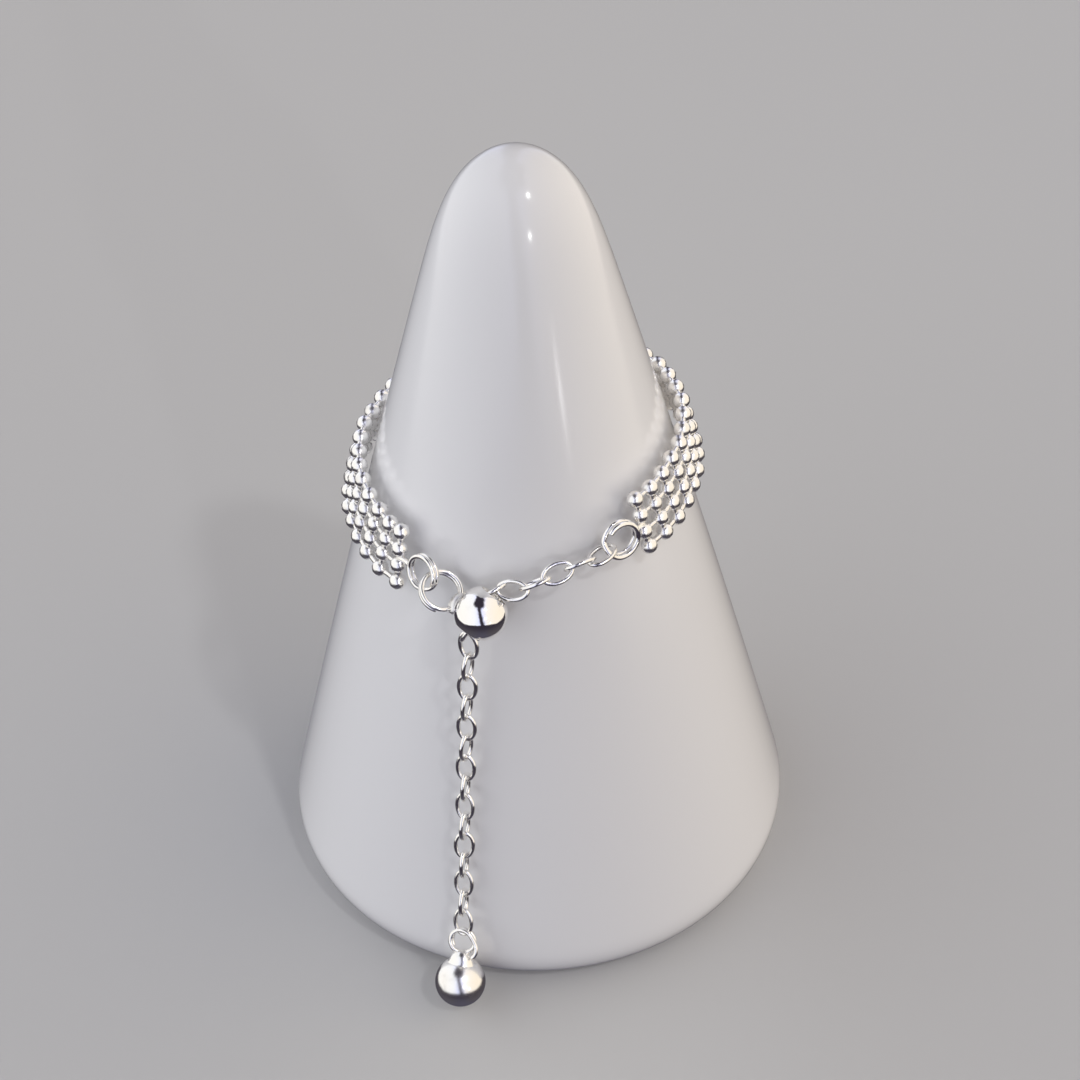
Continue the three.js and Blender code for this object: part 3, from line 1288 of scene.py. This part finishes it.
@dataclass(frozen=True)
class SoftRoom:
    """A dim room with a broad soft light at each side, by direction (x, y, z).

    A pair is where a smooth step starts and ends.
    """

    brightness: float = 1.75
    tints: tuple[tuple[float, Triple], ...] = (
        (0.0, (1.0, 0.985, 0.95)), (0.28, (0.96, 0.98, 1.03)), (0.42, (0.82, 0.86, 1.16)),
        (0.58, (0.83, 0.86, 1.15)), (0.72, (0.985, 0.94, 0.89)), (1.0, (1.0, 0.90, 0.75)),
    )
    room: Triple = (0.036, 0.030, 0.044)
    backdrop: Triple = (0.55, 0.55, 0.555)
    noise_scale: float = 4.0
    gap_lean: float = 0.2
    gap_place: float = 0.07
    gap_noise: float = 0.2
    gap_edge: Pair = (0.08, 0.22)
    roof_rise: Pair = (0.87, 0.94)
    roof_width: Pair = (0.46, 0.32)
    roof_noise: float = 0.1
    rim_drop: float = 0.12
    rim_bow: float = 0.28
    rim_noise: float = 0.08
    rim_edge: Pair = (-0.03, 0.03)
    front: float = 0.22
    side: float = 0.75
    side_band: Pair = (0.16, 0.95)
    left: float = 0.15
    left_band: Pair = (0.0, -0.6)
    high_loss: float = 0.35
    high_band: Pair = (0.3, 1.0)
    in_mirrors: float = 0.6
    low: float = 0.03
    low_band: Pair = (-0.3, -0.95)

    def amount(self, x: Signal, z: Signal, uneven: Signal, is_mirrored: Signal) -> Signal:
        """How much of the light comes from each direction.

        The lights are brightest at the sides, most of all at the left, and fade upwards. What a mirror
        shows of them is even. Between them is a dark gap, about x = 0.07 - 0.2 z, and overhead a wider dark
        roof. They end at a rim, z = -(0.12 + 0.28 x^2), and below it only the bottom is a little lit. Noise
        makes the edges of the gap, the roof and the rim uneven.

        Args:
            x: the direction's part to the right.
            z: the direction's part upwards.
            uneven: noise about 0.
            is_mirrored: 1 where a reflection is being worked out.

        Returns:
            The amount, 0 to 1.
        """
        wide = abs(x + self.gap_lean * z - self.gap_place + self.gap_noise * uneven)
        roof = (z + self.roof_noise * uneven).smoothed(*self.roof_rise) * wide.smoothed(*self.roof_width)
        rim = z + self.rim_drop + self.rim_bow * x * x + self.rim_noise * uneven
        sides = self.front + self.side * wide.smoothed(*self.side_band)
        sides = sides + self.left * x.smoothed(*self.left_band)
        soft = sides * (1.0 - self.high_loss * z.smoothed(*self.high_band))
        swell = soft + is_mirrored * (self.in_mirrors - soft)
        shape = wide.smoothed(*self.gap_edge) * (1.0 - roof) * rim.smoothed(*self.rim_edge)
        return shape * swell + self.low * z.smoothed(*self.low_band)

    def build(self) -> None:
        """Makes the world: tinted light where there is any, the dim room elsewhere, and a pale backdrop."""
        world = bpy.data.worlds.new("studio")
        world.use_nodes = True
        bpy.context.scene.world = world
        graph = Graph(world.node_tree)
        way = graph.add("ShaderNodeTexCoord").outputs["Generated"]
        parts = graph.add("ShaderNodeSeparateXYZ", {}, {0: way}).outputs
        x, z = Signal(graph, parts["X"]), Signal(graph, parts["Z"])
        noise = graph.add("ShaderNodeTexNoise", {}, {0: way, "Scale": self.noise_scale}).outputs[0]
        ray = graph.add("ShaderNodeLightPath").outputs
        amount = self.amount(x, z, Signal(graph, noise) - 0.5, Signal(graph, ray["Is Glossy Ray"]))
        tint = graph.add("ShaderNodeValToRGB", {"stops": self.tints}, {0: 0.5 * x + 0.5}).outputs[0]
        light = {"Color": tint, "Strength": self.brightness}
        strong = graph.add("ShaderNodeBackground", {}, light).outputs[0]
        dim = graph.add("ShaderNodeBackground", {}, {"Color": (*self.room, 1.0)}).outputs[0]
        lit = graph.add("ShaderNodeMixShader", {}, {0: amount, 1: dim, 2: strong}).outputs[0]
        pale = graph.add("ShaderNodeBackground", {}, {"Color": (*self.backdrop, 1.0)}).outputs[0]
        final = graph.add("ShaderNodeMixShader", {}, {0: ray["Is Camera Ray"], 1: lit, 2: pale}).outputs[0]
        graph.add("ShaderNodeOutputWorld", {}, {"Surface": final})


@dataclass
class Studio:
    """A pale floor, the soft room, three small lamps, and the camera. Its sizes are in metres."""

    floor_radius: float = 1.5
    floor_rings: tuple[float, ...] = (0.02, 0.1, 0.4, 1.0)
    floor_sides: int = 96
    room: SoftRoom = SoftRoom()
    lamps: tuple[Lamp, ...] = (
        Lamp("streak", turn=32.7, rise=-7.6, away=0.156, size=(0.005, 0.004), power=0.002),
        Lamp("tip_spot", turn=38.0, rise=54.0, away=1.0, size=(0.05, 0.05), power=1.0),
        Lamp("tip_low_spot", turn=20.0, rise=20.0, away=1.0, size=(0.03, 0.03), power=0.5),
    )
    camera_place: Triple = (0.0, -0.105487, 0.116588)
    camera_forward: Triple = (0.00438, 0.74484, -0.66723)
    camera_up: Triple = (0.04108, 0.66654, 0.74434)
    clip: Pair = (0.005, 10.0)
    lens: float = 80.0
    sensor: float = 36.0

    def floor(self) -> None:
        """A wide flat disc just under the cone. It is seen, but its light doesn't reach the pieces."""
        sides, rings = self.floor_sides, np.array(self.floor_rings)[:, None]
        points = round_points(rings * self.floor_radius / MM, round_angles(sides), 0.0).reshape(-1, 3)
        here = np.arange(sides)
        fan = np.stack([here, (here + 1) % sides, np.full(sides, len(points))], axis=-1)
        vertices = np.concatenate([points, [[0.0, 0.0, 0.0]]])
        data = MeshData(vertices, grid_quads(len(rings), sides)[:, ::-1], fan)
        floor = make_object("floor", data, PalePaper())
        floor.visible_glossy = floor.visible_diffuse = False

    def camera(self) -> None:
        """The camera: above the front, looking down at the cone, its top leaning a little to the right."""
        data = bpy.data.cameras.new("camera")
        data.lens, data.sensor_width = self.lens, self.sensor
        data.clip_start, data.clip_end = self.clip
        back = -Vector(self.camera_forward).normalized()
        right = Vector(self.camera_up).cross(back).normalized()
        turn = Matrix((right, back.cross(right), back)).transposed().to_4x4()
        camera = bpy.data.objects.new("camera", data)
        camera.matrix_world = Matrix.Translation(self.camera_place) @ turn
        bpy.context.scene.collection.objects.link(camera)
        bpy.context.scene.camera = camera

    def build(self) -> None:
        """Sets the studio up."""
        self.floor()
        self.room.build()
        for lamp in self.lamps:
            lamp.build()
        self.camera()
        bpy.context.scene.view_settings.view_transform = "Standard"


def main() -> None:
    """Builds the pieces and the studio."""
    logging.basicConfig(level=logging.INFO, format="%(message)s")
    Studio().build()
    RingCone().build()
    band = MeshBand()
    band.build()
    left = WoundRing(
        radius=0.965, wire_radius=0.13, pitch=0.265, face_turn=-47.4, face_lift=16.4, start=340.0
    )
    right = WoundRing(
        radius=0.997, wire_radius=0.165, pitch=0.35, face_turn=31.7, face_lift=10.9, start=135.0, way=-1,
        crossing=(280.0, 330.0),
    )
    left_place = {"turn": -34.29, "height": 27.44, "standoff": 1.42}
    right_place = {"turn": 30.37, "height": 29.16, "standoff": 1.2}
    JumpRing("left_jump_ring", "left_end_ring", **left_place, ring=left).build(band.notch(-1))
    JumpRing("right_jump_ring", "right_end_ring", **right_place, ring=right).build(band.notch(0))
    chain = Chain()
    chain.build()
    SliderBead().build()
    EndBall().build(chain.curve()[0][-1])


if __name__ == "__main__":
    main()
